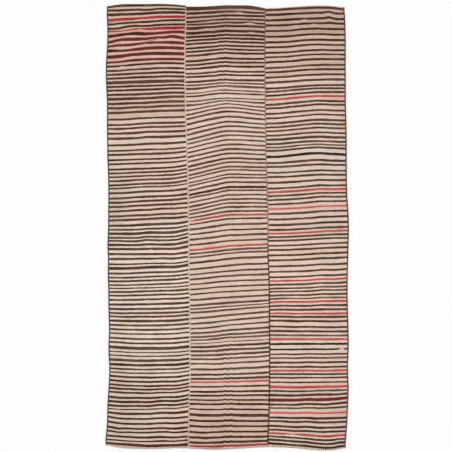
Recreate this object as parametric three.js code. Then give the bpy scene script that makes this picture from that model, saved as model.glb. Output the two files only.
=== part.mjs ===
// A flat three-panel striped kilim, woven in wool on a narrow loom.
// Three long woven panels lie edge to edge, each with a turned hem at both ends, and the two outer long
// edges are bound with a thick overcast cord. The rug lies on its flat underside.
// Units are millimetres. X runs across the rug, Y along it from the near end to the far end, and Z up.
// The origin is the middle of the rug's box, on the underside.

import * as THREE from "three";
import { mergeVertices } from "three/addons/utils/BufferGeometryUtils.js";

// Driving dimensions
const CLOTH_THICKNESS = 3;
const HEM_THICKNESS = 4.2;
const HEM_DEPTH = 15;
const HEM_SLOPE = 2;
const BINDING_WIDTH = 8;
const BINDING_THICKNESS = 5;
const GAP = 0.3;

// How finely the outlines are followed. Every piece bends only at the same places along the rug, so
// neighbours stay the same gap apart all the way.
const EVEN_REACH = 1400;
const EVEN_STEPS = 40;
const OUTERMOST = 1480;
const END_PLACES = 7;
const EDGE_ROUNDING = [0, 0.13, 0.5, 1];

// The four long lines of the rug, measured from its middle: both outer edges and the two joins.
// No line is straight, because each narrow panel was woven and stretched by hand.
const LONG_LINES = [
  { along: -1475, leftEdge: -800, leftJoin: -256, rightJoin: 271, rightEdge: 780 },
  { along: -1425, leftEdge: -803, leftJoin: -254, rightJoin: 270, rightEdge: 783 },
  { along: -1300, leftEdge: -792, leftJoin: -253, rightJoin: 274, rightEdge: 793 },
  { along: -1175, leftEdge: -789, leftJoin: -250, rightJoin: 279, rightEdge: 799 },
  { along: -1050, leftEdge: -781, leftJoin: -246, rightJoin: 280, rightEdge: 803 },
  { along: -925, leftEdge: -776, leftJoin: -243, rightJoin: 282, rightEdge: 798 },
  { along: -810, leftEdge: -783, leftJoin: -244, rightJoin: 282, rightEdge: 803 },
  { along: -675, leftEdge: -778, leftJoin: -244, rightJoin: 281, rightEdge: 802 },
  { along: -550, leftEdge: -782, leftJoin: -245, rightJoin: 280, rightEdge: 798 },
  { along: -425, leftEdge: -783, leftJoin: -248, rightJoin: 279, rightEdge: 796 },
  { along: -300, leftEdge: -787, leftJoin: -250, rightJoin: 277, rightEdge: 797 },
  { along: -175, leftEdge: -785, leftJoin: -253, rightJoin: 270, rightEdge: 801 },
  { along: -130, leftEdge: -790, leftJoin: -252, rightJoin: 270, rightEdge: 802 },
  { along: -50, leftEdge: -786, leftJoin: -252, rightJoin: 270, rightEdge: 804 },
  { along: 75, leftEdge: -784, leftJoin: -254, rightJoin: 271, rightEdge: 803 },
  { along: 200, leftEdge: -783, leftJoin: -256, rightJoin: 266, rightEdge: 794 },
  { along: 325, leftEdge: -784, leftJoin: -258, rightJoin: 263, rightEdge: 791 },
  { along: 450, leftEdge: -789, leftJoin: -262, rightJoin: 258, rightEdge: 790 },
  { along: 575, leftEdge: -791, leftJoin: -266, rightJoin: 256, rightEdge: 790 },
  { along: 700, leftEdge: -792, leftJoin: -272, rightJoin: 254, rightEdge: 788 },
  { along: 825, leftEdge: -792, leftJoin: -274, rightJoin: 252, rightEdge: 784 },
  { along: 950, leftEdge: -798, leftJoin: -276, rightJoin: 252, rightEdge: 784 },
  { along: 1075, leftEdge: -799, leftJoin: -277, rightJoin: 250, rightEdge: 783 },
  { along: 1200, leftEdge: -791, leftJoin: -277, rightJoin: 250, rightEdge: 784 },
  { along: 1325, leftEdge: -790, leftJoin: -272, rightJoin: 252, rightEdge: 782 },
  { along: 1368, leftEdge: -794, leftJoin: -272, rightJoin: 251, rightEdge: 782 },
  { along: 1450, leftEdge: -791, leftJoin: -272, rightJoin: 250, rightEdge: 770 },
];

// Where each panel's two ends lie along Y, at seven even places from its left side to its right side.
const PANEL_ENDS = {
  left: {
    near: [-1437, -1455, -1460, -1462, -1461, -1457, -1457],
    far: [1458, 1471, 1472, 1472, 1473, 1470, 1462],
  },
  middle: {
    near: [-1459, -1463, -1467, -1463, -1459, -1453, -1448],
    far: [1455, 1455, 1459, 1464, 1464, 1461, 1445],
  },
  right: {
    near: [-1449, -1451, -1456, -1464, -1471, -1471, -1456],
    far: [1445, 1447, 1453, 1459, 1463, 1461, 1453],
  },
};

const wool = (name, color) =>
  new THREE.MeshStandardMaterial({ name, color, roughness: 0.92, metalness: 0 });

const MATERIALS = {
  left: wool("striped wool, brown on oat", 0xa98a78),
  middle: wool("striped wool, umber on oat", 0xa98c7a),
  right: wool("striped wool, brown and madder on oat", 0xad8c7b),
  binding: wool("overcast wool, dark brown", 0x45302c),
};

// A smooth curve through evenly or unevenly spaced values.
function curveThrough(places, values) {
  const curve = new THREE.CubicInterpolant(places, values, 1);
  return (place) => curve.evaluate(place)[0];
}

// Even places along the rug, at which every piece has a row of points.
const EVEN_PLACES = Array.from(
  { length: EVEN_STEPS + 1 },
  (_, i) => EVEN_REACH * ((2 * i) / EVEN_STEPS - 1),
);

// One of the long lines, straight between the even places, and shifted across by the distance given.
function longLine(column, shift = 0) {
  const smooth = curveThrough(
    LONG_LINES.map((row) => row.along),
    LONG_LINES.map((row) => row[column]),
  );
  const places = [-OUTERMOST, ...EVEN_PLACES, OUTERMOST];
  const line = new THREE.LinearInterpolant(places, places.map(smooth), 1);
  return (along) => line.evaluate(along)[0] + shift;
}

function endLine(values) {
  const places = values.map((_, i) => i / (END_PLACES - 1));
  return curveThrough(places, values);
}

// Places across a piece: each inset in from both of its sides, and even shares of its width between them.
function acrossStopsFor(insets, parts) {
  const shares = Array.from({ length: parts - 1 }, (_, i) => (i + 1) / parts);
  return [
    ...insets.map((inset) => (low) => low + inset),
    ...shares.map((share) => (low, high) => low + share * (high - low)),
    ...insets.toReversed().map((inset) => (low, high) => high - inset),
  ];
}

// Places along a piece: each inset in from both of its ends, and the even places between them.
function alongStopsFor(insets) {
  return [
    ...insets.map((inset) => (near) => near + inset),
    ...EVEN_PLACES.map((place) => () => place),
    ...insets.toReversed().map((inset) => (near, far) => far - inset),
  ];
}

// How much of the thickness is left this near a rounded border: none at the border, and all of it past
// the rounding.
function roundedShare(inset, thickness) {
  const reach = Math.min(inset / (thickness / 2), 1);
  return Math.sqrt(1 - (1 - reach) ** 2);
}

// One closed lying sheet between two long lines and two ends, with a flat underside and rounded borders.
// thicknessAt gives the thickness at a distance in from the nearer end.
function lyingSheet({ from, to, near, far, acrossStops, alongStops, thicknessAt }) {
  const columns = acrossStops.length;
  const rows = alongStops.length;
  const positions = [];
  for (const side of [-1, 1]) {
    for (const alongStop of alongStops) {
      for (const acrossStop of acrossStops) {
        const share = acrossStop(0, to(0) - from(0)) / (to(0) - from(0));
        const y = alongStop(near(share), far(share));
        const x = acrossStop(from(y), to(y));
        const inFromEnd = Math.min(y - near(share), far(share) - y);
        const inFromEdge = Math.min(x - from(y), to(y) - x);
        const thickness = thicknessAt(inFromEnd);
        const left = Math.min(roundedShare(inFromEnd, thickness), roundedShare(inFromEdge, thickness));
        positions.push(x, y, (thickness / 2) * (1 + side * left));
      }
    }
  }
  const faces = [];
  for (let row = 0; row < rows - 1; row += 1) {
    for (let column = 0; column < columns - 1; column += 1) {
      const a = row * columns + column;
      const [b, c, d] = [a + 1, a + columns + 1, a + columns];
      const upper = rows * columns;
      faces.push(a, c, b, a, d, c);
      faces.push(a + upper, b + upper, c + upper, a + upper, c + upper, d + upper);
    }
  }
  const geometry = new THREE.BufferGeometry();
  geometry.setAttribute("position", new THREE.Float32BufferAttribute(positions, 3));
  geometry.setIndex(faces);
  const closed = withoutLines(mergeVertices(geometry, 1e-3));
  closed.computeVertexNormals();
  return closed;
}

// Drops the faces that have become lines where the upper and lower sides meet.
function withoutLines(geometry) {
  const index = geometry.index.array;
  const kept = [];
  for (let i = 0; i < index.length; i += 3) {
    const [a, b, c] = [index[i], index[i + 1], index[i + 2]];
    if (a !== b && b !== c && c !== a) kept.push(a, b, c);
  }
  geometry.setIndex(kept);
  return geometry;
}

function clothThickness(inFromEnd) {
  const past = THREE.MathUtils.clamp((inFromEnd - HEM_DEPTH) / HEM_SLOPE, 0, 1);
  return THREE.MathUtils.lerp(HEM_THICKNESS, CLOTH_THICKNESS, past);
}

// A panel of cloth: the weave runs from one long line to the other, and each end is turned under as a hem.
function wovenPanel(name, from, to) {
  const selvedge = EDGE_ROUNDING.map((share) => (share * CLOTH_THICKNESS) / 2);
  const hem = EDGE_ROUNDING.map((share) => (share * HEM_THICKNESS) / 2);
  const geometry = lyingSheet({
    from,
    to,
    near: endLine(PANEL_ENDS[name].near),
    far: endLine(PANEL_ENDS[name].far),
    acrossStops: acrossStopsFor(selvedge, END_PLACES - 1),
    alongStops: alongStopsFor([...hem, HEM_DEPTH, HEM_DEPTH + HEM_SLOPE]),
    thicknessAt: clothThickness,
  });
  const mesh = new THREE.Mesh(geometry, MATERIALS[name]);
  mesh.name = `panel_${name}`;
  return mesh;
}

// The overcast cord along an outer edge, as long as the panel's own edge.
function edgeBinding(name, from, to, corner) {
  const rounding = EDGE_ROUNDING.map((share) => (share * BINDING_THICKNESS) / 2);
  const geometry = lyingSheet({
    from,
    to,
    near: () => PANEL_ENDS[name].near[corner],
    far: () => PANEL_ENDS[name].far[corner],
    acrossStops: acrossStopsFor(rounding, 1),
    alongStops: alongStopsFor(rounding),
    thicknessAt: () => BINDING_THICKNESS,
  });
  const mesh = new THREE.Mesh(geometry, MATERIALS.binding);
  mesh.name = `binding_${name}`;
  return mesh;
}

// Moves the rug so that its box is centred on the origin and its underside lies at height 0.
function centred(rug) {
  const box = new THREE.Box3().setFromObject(rug);
  const middle = box.getCenter(new THREE.Vector3());
  rug.position.set(-middle.x, -middle.y, -box.min.z);
  return rug;
}

function buildKilim() {
  const bound = BINDING_WIDTH + GAP;
  const rug = new THREE.Group();
  rug.add(
    wovenPanel("left", longLine("leftEdge", bound), longLine("leftJoin", -GAP / 2)),
    wovenPanel("middle", longLine("leftJoin", GAP / 2), longLine("rightJoin", -GAP / 2)),
    wovenPanel("right", longLine("rightJoin", GAP / 2), longLine("rightEdge", -bound)),
    edgeBinding("left", longLine("leftEdge"), longLine("leftEdge", BINDING_WIDTH), 0),
    edgeBinding("right", longLine("rightEdge", -BINDING_WIDTH), longLine("rightEdge"), END_PLACES - 1),
  );
  return centred(rug);
}

export default buildKilim();
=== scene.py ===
"""A flat kilim of three striped wool panels: its weave, its sewing, and a plain studio to see it in."""

import math

import bpy
import numpy as np
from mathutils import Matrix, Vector
from mathutils.bvhtree import BVHTree


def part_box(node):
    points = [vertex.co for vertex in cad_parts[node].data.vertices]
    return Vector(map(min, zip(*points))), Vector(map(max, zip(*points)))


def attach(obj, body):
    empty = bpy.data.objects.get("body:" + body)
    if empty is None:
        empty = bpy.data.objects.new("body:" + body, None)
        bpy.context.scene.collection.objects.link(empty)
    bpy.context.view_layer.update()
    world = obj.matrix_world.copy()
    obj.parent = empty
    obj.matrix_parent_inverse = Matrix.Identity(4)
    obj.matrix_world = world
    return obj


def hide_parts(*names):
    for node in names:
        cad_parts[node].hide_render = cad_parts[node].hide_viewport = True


bl_info = {
    "name": "Striped Kilim",
    "version": (1, 0, 0),
    "blender": (4, 5, 0),
    "location": "3D View > Sidebar > Kilim",
    "description": "Weaves and sews a three-panel striped kilim on its measured frame, and lights it",
    "category": "Add Mesh",
}

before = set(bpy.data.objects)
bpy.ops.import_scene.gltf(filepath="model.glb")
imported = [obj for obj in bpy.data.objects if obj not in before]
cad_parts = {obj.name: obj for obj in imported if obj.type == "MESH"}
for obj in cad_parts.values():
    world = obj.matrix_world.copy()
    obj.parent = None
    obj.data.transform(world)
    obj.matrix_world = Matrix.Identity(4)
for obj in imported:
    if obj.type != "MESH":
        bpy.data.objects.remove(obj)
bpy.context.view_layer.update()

MM = 0.001

# The charts count in units of 6.6 mm, one pixel of the photo: along the rug from a line just off its far
# end, and across it from the photo's left side.
UNIT = 6.6 * MM
FAR_LINE = 1.4989  # where the charts' line 0 lies along the rug
MIDDLE_ACROSS = 227.15  # the chart place of the rug's middle, across it
PICTURE = 452  # the photo's width and height, in chart units

# What the weaver threw, from the far end to the near end. Each entry is a dark stripe: the yarn's letter,
# the stripe's middle, and its height where it isn't the usual one. Between two stripes lies light yarn.
USUAL_HEIGHT = 1.5
STRIPES = {
    "left": """
        N5.2:2.4 N9.7:1.4 N13.5:1.8 R17.9:2.35 N21.5 N26 R28.9:1.9 M33.2:2.1 M38.7:2 M43.1 M48.2:2.3
        M53.7:2.7 M59.6:2.1 N64:1.7 N68.9 N73.2:1.6 N77.2:1.6 P81.8:2.6 N86:1.4 N89.7 N94.1:1.6 D98.2:2.05
        D102.8:1.8 D107:1.6 D111.5:1.7 U118:1.3 D123.3:1.4 U127.1:1.3 D131.8:1.7 D137:1.8 D143.7:1.7
        D149.6:1.3 D153.8:1.8 N159.1:1.4 D163.1:1.4 N168.4:1.4 D172.1:1.4 D175.7:1.2 D179.4 D183.5:1.4
        U186.7:1 D191.4:1.6 D196.6 D200.9 D205.2 D209.7 D214.9:1.6 D218.9:1.6 D224.4:1.8 H228.6:1.3
        H232.6:2.2 H236.8 H240.2 D244.4:2 D248.9:2.1 D254.1:1.8 H258.6:1.6 U263.4:1.1 D267.2:2.3 H272.4:1.6
        D276.7:1.4 D280.4:1.6 D284.4:1.2 D287.7:.8 H291.2 D295:1.4 D299.3 D304.1:1.8 H308.8:1.6 D313:1.6
        D316.6 D321:2 H325.4:1.6 D329.8 U334.1:1.1 H339:1.3 D343.4:1.4 H348.3:2.6 D352.6:.7 U356.2:.9
        H360.6:2.1 N365.1:1.9 D369.4:1.2 U373.2:1 N377.4:1.6 N381.9:1.6 N386:1.4 N389.5:1.4 N393.1:1.4
        N397.9:1.7 N401.9:1.8 N405.8:1.6 D409.3:.8 N413.7:1.75 N418.7 N423.7:1.6 N428.6 N432.4:1.3 N437.4:1.8
        N441.4:1.2 N445.7:2
    """,
    "middle": """
        P7:3 H11.3:1.7 N15.1 N18.9:1.4 N22.4:1.3 N25.9:1.7 N30.9:2 N34.9:1.6 N38.4:1.6 N41.8:1.4 N45.8
        N49.3:1.4 N53.1 N58.4:1.6 N62.4:1.4 N66.4:1.7 D71.5:1.6 N75.1 D79.9:1.7 V83.1:1.1 F86.2:1.7 B90.3:1.1
        D93.5:1.6 B98.4:.9 V100.9:1 V103.9:.9 F107.8:1.4 D111.8:1.6 F116.9:1.7 U122:1.2 F126.4:1.3 F131.2
        F135.4:1.2 U140:1 F144.7:1.3 F149.4 F153.8:1.3 D158.6:1.6 F162.5:1.4 F166.9:1.4 V170.2:1.1 U174.6:1
        F177.8:1.2 F182.4 N187.2:1.8 V190.5:1.2 F195:1.2 F199.3:1.4 U203.2:1.2 F207.2 F211.4 S215.1:1.6
        U218.9:1.2 F224.5:1.7 U229.9:1.2 F235.3:1.7 F240.8:1.4 S246.1 F249.8 F253.3:1.2 V259:1.8 F265.5
        F271:1.3 F275.9:1.7 F281.2:1.3 F286.4:1.4 F291.5:1.4 F297.3:1.7 F302.7:1.7 H306.2:.85 F309.6 F315:1.6
        F320.2:1.4 F325.1:1.3 F330.1 F334.3:1.45 F337.5:1.3 B341.4:.6 D345.2:1.9 D349.7:1.8 F354.2:1.8
        F358.4:1.4 F363.2:1.3 F368.9:1.75 D374.3:1.6 P378.4:1.7 S381.7:1.2 D386.3:1.4 N391.4:1.6 N395.3
        U399.8:1.2 N403.9:1.6 N409.2:1.2 P414.9:2.5 N420.6:1.7 N426 N431.5:1.45 N436.9:1.8 N441.8:2
        C445.7:1.9
    """,
    "right": """
        U8.3:1.7 N13.4 N18.9 N23.7:1.3 N29:1.4 N34.6:1.4 N40.1 N45.1:1.3 N50.6:1.4 N55:1.2 N59.9 D65.6
        N70:1.4 D75.2 D80.3:1.7 D85.9 D89.2:1.3 N93:1.4 S97:1.6 D101.9:1.6 D105.5:1.4 D111:1.4 D115.4:1.2
        D120.7:1.6 D124.6:1.4 D128.5:1.3 D133.1:1.3 D137.4:1.9 D141.6 B145:1 D148:1.4 K153.9:2 D160.7:1.7
        D165.1 D171.1:1.2 D175.4:1.4 D181 U186.5:1.3 S190.2:1.8 D194.1:1.3 D198.1:1.4 D202.6:1.3 S207.5:1.25
        D212.5 D218.2 D223.8:1.75 D228.7 S232.4:1.45 D235.9 D239.5:1.3 D244.5:1.2 D248.9 D254.2 D259.2 D265.3
        D270.9:1.4 D276.3:1.4 S280.2:1.35 D283.9 D287.9:1.2 D291.1:1.2 D295:1.4 B298.4:1.1 S301.9:1.65 D305.8
        D309.7 S313.6:1.4 D316.8:1.6 D320.9:1.6 D326.8 D331.2:1.6 B335.3:1.3 S339.1 K343.8 K349.1:1.2
        U353.8:1.1 B357.6:1.4 U362.1 D366.7:1.4 S370.4:1.75 D374:1.4 D377.6:1.3 D382.3:1.1 S387.1:2.2
        D390.9:1.2 P394.9:1.7 M399.4:2.4 N403.9 D407.7:1.2 S412.7:1.2 N417.7:1.6 N421.6 N426.7:1.7 N430.8:1.4
        S434.9:1.8 N438.6:1.3 N442.1 N445.8:1.8
    """,
}

# Which light yarn was on the shuttle, from each chart place on. The tan from 447 on, at the near ends of the
# left and middle panels, is painted shade where the hem's edge turns down.
LIGHTS = {
    "left": "u0 p14 q27 p32 u61 o119 w225 g350 l385 t447",
    "middle": "t0 u34 o66 i110 o230 i238 o345 u397 t447",
    "right": "t0 u36 o78 g132 o175 c246 i280 c341 i350 l391",
}

# How far each weft line drifts from level, because the panel was beaten and stretched by hand. Each row is
# a place along, then the drift towards the near end at seven even places from the panel's left side to its
# right side.
DRIFTS = {
    "left": """
        9.7 1 .7 .1 0 -.9 -.7 -.2 | 18 2.7 1.6 1.1 0 -.8 -1 -.8 | 26 2.7 2 .5 0 -1.1 -1.6 -1.5
        38.7 3.9 1.5 .4 .2 -1.2 -1.4 -.3 | 48.2 3.3 2.3 1.3 0 -.4 -.2 .4 | 53.7 3.8 2.8 .8 0 -.3 -.1 .2
        64 2.8 2.1 .9 0 -.7 -.8 -.3 | 82 1.4 .9 .2 0 -.5 -.9 -.7 | 98 1.2 .8 .4 0 -.8 -1.5 -1.5
        111.5 1.6 1.4 .5 0 -.6 -.9 -1.2 | 137 2 1.7 1.3 0 0 -.5 -1.2 | 153.8 1.4 1 .4 0 -.3 -1 -2.6
        168.4 1.4 1 .5 0 -.4 -1.2 -3.4 | 183.5 2 1.6 .7 0 -.2 -1.1 -3.2 | 214.9 1.7 1.3 .5 0 -.9 -1.2 -2.5
        240.2 .7 .9 1 0 .2 -.4 -3.4 | 254 0 0 0 0 -.2 -.2 -2.1 | 267.3 1.2 1.3 .8 0 -.3 -.4 -2.4
        276.7 .9 1 .5 0 -.5 -1 -2.7 | 295 .5 .7 .4 0 -.5 -.7 -1.9 | 325.4 -.8 -.2 0 0 -.2 -.8 -2.1
        348.3 -1.6 -.8 -.1 0 -.1 -.6 -2 | 365 -1.2 -.4 0 0 -.3 -.6 -2.1 | 386 -2 -.8 -.3 0 -.4 -.7 -3
        409 -1 .1 .1 0 -1 -1 -2.9 | 418.7 -2.2 -.3 .1 0 -.7 -.8 -2.1 | 437.4 -2.1 -.9 -.2 0 -.6 0 -1.2
        445.6 -2.8 -1.7 -.9 0 -.4 -.7 -1.6
    """,
    "middle": """
        11.3 2.6 2 1.3 .4 .4 1 1.7 | 25.9 2.6 1.9 1.2 .2 .4 .5 1.3 | 45.8 3 2 1.1 0 .4 .8 1.1
        58.4 3.1 2.6 1 0 .3 .5 .5 | 79.6 2.3 1.8 .8 0 .4 .5 .6 | 90.3 3.4 2.8 .8 0 .5 1.2 2
        98.4 3.4 2.6 .8 0 .2 .8 1.2 | 100.9 4.5 3.9 1.3 0 .5 1.5 2.2 | 103.9 7 4.6 2.1 0 1 2.5 3.6
        107.8 7.5 4.7 1.7 0 .4 2.1 3.6 | 116.9 8 4.9 2 0 .1 1.6 2.7 | 131.2 9 5.8 2.6 0 .1 .9 1.7
        149.5 8.1 5.1 2.3 0 -.3 .5 .9 | 170.2 8.8 5.8 2.6 0 -.3 .2 .4 | 187.2 8.2 5.3 2.9 0 -.2 -.3 -.3
        203.2 7.7 5.2 2.3 0 -.3 -.4 0 | 215.1 6.3 4.3 1.9 0 -.4 -.6 -.7 | 235.3 4.4 3.3 1.7 0 -.4 -1 -1.5
        259 4.4 3.1 1.6 0 -1.2 -1.8 -2.2 | 286.4 3.2 2.2 .8 0 -.7 -1.2 -1.8 | 302.7 2.9 2 .9 0 -.9 -1.7 -2.5
        315.3 3.6 2.8 1.6 0 -1.2 -2.4 -3.5 | 345.2 1.9 1.9 1 0 -.7 -1.2 -2.1
        358.4 .7 .7 .7 0 -1.1 -1.6 -2.8 | 386.3 .3 .4 .3 0 -.2 -.7 -1 | 404 -.3 .2 .3 0 .1 .1 .2
        420.6 -.7 .3 .3 0 .1 .3 .1 | 442.1 .3 .9 .6 0 -.4 -.8 -1.2
    """,
    "right": """
        13.4 1.6 1.3 .5 0 -.5 -.6 .5 | 29 2.1 2.1 1.4 .1 -.3 .1 .3 | 59.9 2.6 2.1 1.3 0 -.6 -.6 -.4
        80 2.7 2.1 1.2 0 -.5 -.8 -.8 | 96.7 3.1 2.4 1.1 0 -1 -.8 -.7 | 124.6 3 2.6 1.4 0 -.9 -.4 0
        141.6 2.5 2.3 1.1 0 -.5 0 .4 | 153.8 3.1 2.8 1.4 0 -.7 .1 .8 | 165.1 1.8 1.8 1 0 -.7 -.2 -.1
        194 2.3 1.8 1 0 -1.3 -1.2 -1.5 | 212.5 1.4 1.3 .7 0 -1.3 -1.6 -2 | 244.5 1.3 1.1 .7 0 -.8 -1.4 -1.7
        276.3 1 .8 .5 0 -1.1 -1 -2 | 305.8 .4 -.2 0 0 -.7 -.8 -.8 | 320.9 -.5 -.3 .2 0 .3 .4 -.1
        339.1 0 0 0 0 0 0 0 | 353.8 .6 .4 .5 0 .2 0 -.3 | 376 0 0 .1 -.1 .1 -.1 -.4
        390.9 -.2 0 .3 0 -.5 -.6 -1.2 | 399.3 .5 .7 .7 0 .1 -.5 -1.7 | 412.6 -.1 0 .3 0 .3 0 -.8
        421.6 -.7 -.4 .3 0 .7 .6 0 | 430.9 -1.3 -.9 .1 0 1.1 .7 .1 | 438.6 -2.7 -1.9 -1 0 1.2 1.4 .3
        445.8 -2.7 -1.9 -.8 0 1.4 1.8 .1
    """,
}
DRIFT_PLACES = np.linspace(0, 1, 7)

# Small places where the weft was pushed aside: the places along and across, the shift towards the near end,
# and how far it reaches along and across.
NUDGES = {
    "left": "26 113 .6 5 5 | 38.7 173 -.8 3 7 | 240.2 146 -.5 2 3",
    "right": "16 329 -.6 6 3 | 442 339 -.9 6 5",
}

# Uneven places in single stripes: the stripe's charted middle, which of its borders (f far, n near, b both),
# the place across, the shift towards the near end, and its reach across.
FAULTS = {
    "left": """
        9.7 b 148 .35 6 | 21.5 b 150 .5 14 | 26 b 119 .5 3 | 26 b 130 -.6 9 | 28.9 f 126 .6 14
        28.9 n 114 -.4 8 | 28.9 n 141 -.9 4 | 28.9 b 172 .5 18 | 28.9 n 166 .7 18 | 33.2 n 140 .5 7
        33.2 f 139 -.3 7 | 33.2 b 160 1.1 15 | 38.7 b 122 -.5 8 | 38.7 n 130 .4 10 | 38.7 n 156 -.8 7
        38.7 b 163 .5 5 | 38.7 b 173 -.7 6 | 38.7 n 173 .8 7 | 43.1 b 128 .8 11 | 43.1 n 145 -.8 4
        43.1 b 172 .4 12 | 48.2 b 112 -.6 8 | 48.2 f 122 1 12 | 48.2 n 140 .3 8 | 59.6 n 120 -.4 12
        64 n 122 -.8 2 | 248.9 n 151 -.5 2 | 299.3 n 147 -.5 2 | 313 n 152 -.5 2 | 428.6 b 118 .5 5
        432.4 b 119 .5 5 | 441.4 b 129 .6 14 | 445.7 n 122 -.5 10
    """,
    "middle": """
        11.3 n 240 -.7 3 | 11.3 b 251 .5 9 | 18.9 b 193 .7 12 | 18.9 n 212 -.5 4 | 22.4 b 248 -.7 5
        22.4 n 252 -.6 4 | 22.4 b 260 .4 5 | 25.9 n 194 .9 7 | 30.9 n 194 .5 6 | 30.9 n 252 -.5 5
        203.2 n 222 -.3 8 | 431.5 b 206 .4 6 | 436.9 n 206 .5 2.5 | 436.9 b 198 -.5 8 | 436.9 n 259 .5 6
    """,
    "right": """
        13.4 n 272 .4 8 | 13.4 b 328 -.5 4 | 13.4 b 336 .4 4 | 18.9 n 304 -.7 3 | 18.9 b 329 -.5 4
        18.9 b 337 .4 4 | 23.7 n 314 -.7 2.5 | 23.7 b 329 -.4 4 | 349.1 n 341 -.5 3 | 403.9 b 326 .5 4
        417.7 n 313 .6 5 | 394.9 b 318 -.3 8 | 434.9 n 293 -.7 7
    """,
}
FAULT_BORDERS = {"f": (0,), "n": (1,), "b": (0, 1)}

# Where a stripe's colour changes on its way across: the stripe's charted middle, the letter of the yarn that
# it turns into, the place across, and the reach across.
FADES = {
    "left": """
        17.9 S 110 9 | 17.9 S 143 7 | 28.9 S 122 16 | 33.2 N 128 18 | 48.2 N 112 12 | 53.7 P 162 11
        53.7 H 110 7 | 267.2 P 152 8 | 280.4 P 136 6 | 304.1 P 130 10 | 316.6 P 129 7
    """,
    "middle": "11.3 N 200 16 | 203.2 M 249 8 | 215.1 x 188 5 | 445.7 u 186 3",
    "right": "349.1 c 342 1.8 | 394.9 M 311 13 | 434.9 C 293 6 | 434.9 C 326 7",
}

# Weft that was carried on a slant across the bands: where it starts along and across, where it ends along
# and across, the yarn's letter, and its half width.
SLANTS = {"left": "44.3 141.5 36.6 162 M .6"}
SLANT_END = 1.5  # how far a slanting weft's ends fade out

# Stains in the light yarn: the places along and across, the letter of the yarn's new colour, and the reach
# along and across. The middle panel's row at 448.9 is no stain but painted shade, where the hem's edge turns
# down.
STAINS_AND_HEM_SHADE = {
    "left": "8 181 t 1.5 5 | 205 117 u 22 9 | 382 120 u 8 9 | 436 185 u 8 5",
    "middle": "205 234 y 50 10 | 448.9 210 v .7 22",
    "right": "94 330 x 1.2 14 | 100 334 x 1.6 12 | 122 343 q 7 4 | 180 344 q 5 3 | 228 341 t 3 4",
}

# Soft patches where every colour of the cloth, dark and light, is made lighter or darker alike: the places
# along and across, how much lighter or darker, as a share, and the reach along and across.
SHADES = {
    "left": """
        8 128 -.06 5 14 | 18 138 .05 12 9 | 18 177 -.07 12 9 | 56 114 -.07 20 9 | 75 170 .07 14 12
        112 122 -.05 12 14 | 165 180 .08 14 10 | 190 160 .06 16 12 | 225 114 -.05 14 8 | 231 150 .05 6 8
        240 172 .06 20 18 | 290 172 .07 20 18 | 332 121 -.065 12 16 | 360 165 .1 16 18 | 400 170 .09 20 22
        427 120 -.08 16 16
    """,
    "middle": """
        26 212 -.06 6 12 | 36 197 .08 12 9 | 193 249 .08 14 11 | 322 225 -.05 8 10 | 372 238 -.05 10 14
        430 228 -.07 16 60
    """,
    "right": """
        42 294 -.07 10 20 | 60 335 -.1 30 14 | 105 338 -.1 9 10 | 145 295 .06 12 16 | 224 324 -.06 9 24
        238 278 .09 16 14 | 261 326 -.08 11 15 | 290 296 .12 22 42 | 326 339 -.07 10 9 | 358 282 .08 14 16
        403 305 .05 11 20 | 418 341 -.1 15 11
    """,
}

# A fold line once pressed along the middle panel: place along, place across, and the kink's height there.
CREASE = ((20, 223, 0.0), (38, 223, 0.4), (90, 223, 0.4), (125, 224, 0.1), (320, 226, 0.1),
          (345, 228, 0.45), (440, 228, 0.5))
CREASE_HALF_WIDTH = 3.0
CREASE_REACH = 1.7

# The sewing of the two joins: place along, then in mm the stitches' reach across and their pitch, and the
# yarn's letter.
JOINS = {
    "left_join": (
        "panel_left",
        "panel_middle",
        ((0, 8.5, 6, "t"), (28, 9, 6, "t"), (40, 10.5, 6, "j"), (385, 10.5, 6, "t"), (449, 9, 6, "t")),
    ),
    "right_join": (
        "panel_middle",
        "panel_right",
        ((0, 7.5, 6, "e"), (62, 8.5, 6, "v"), (238, 9.5, 5.5, "e"), (252, 12, 5, "f"), (449, 13, 5, "f")),
    ),
}

# Overcast stitches on the ends: node, which end, from and to across in chart units, then in mm their pitch,
# how far in from the end they lie, their length and width, and the yarn's letter.
END_STITCHES = (
    ("panel_right", -1, 268.5, 345.5, 12.5, 4.5, 8.5, 6, "N"),
    ("panel_left", 1, 113, 128, 17, 8, 5, 4.5, "q"),
    ("panel_left", 1, 144.5, 152, 14, 8, 5, 4.5, "q"),
    ("panel_right", 1, 297, 337, 12, 3.5, 7, 5, "u"),
)

# Cloth
CLOTH_THICKNESS = 3.0 * MM
HEM_THICKNESS = 4.2 * MM
HEM_DEPTH = 15 * MM
HEM_SLOPE = 2 * MM
EDGE_ROUNDING = (0.0, 0.13, 0.5, 1.0)  # where a rounded border's rows lie, in halves of the thickness
UNDERSIDE = 0.4 * MM  # the stitches pass below the cloth in this height
COLUMNS = 74
BORDER_BLUR = 0.1  # half of the step from one yarn to the next, in chart units
LEAST_STEP = 0.035  # two rows are charted at least this far apart, in chart units
ROW_GAP = 1e-4  # pushed rows stay this far apart, in chart units
LIGHT_OFF = 0.5  # the light yarn is looked up this far from a border, in chart units
WIDE_BAND = 2  # a band with more than this on each side of its middle has a row there, in chart units
END_REACH = 3  # how far from each end the nudges and the fold start to fade out, in chart units
BAKE_STRIPS = 3  # each face of a panel is folded into this many strips in its bake map
BAKE_MARGINS = (0.03, 0.02)  # what is left free around a strip, as shares of its width and length

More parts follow.
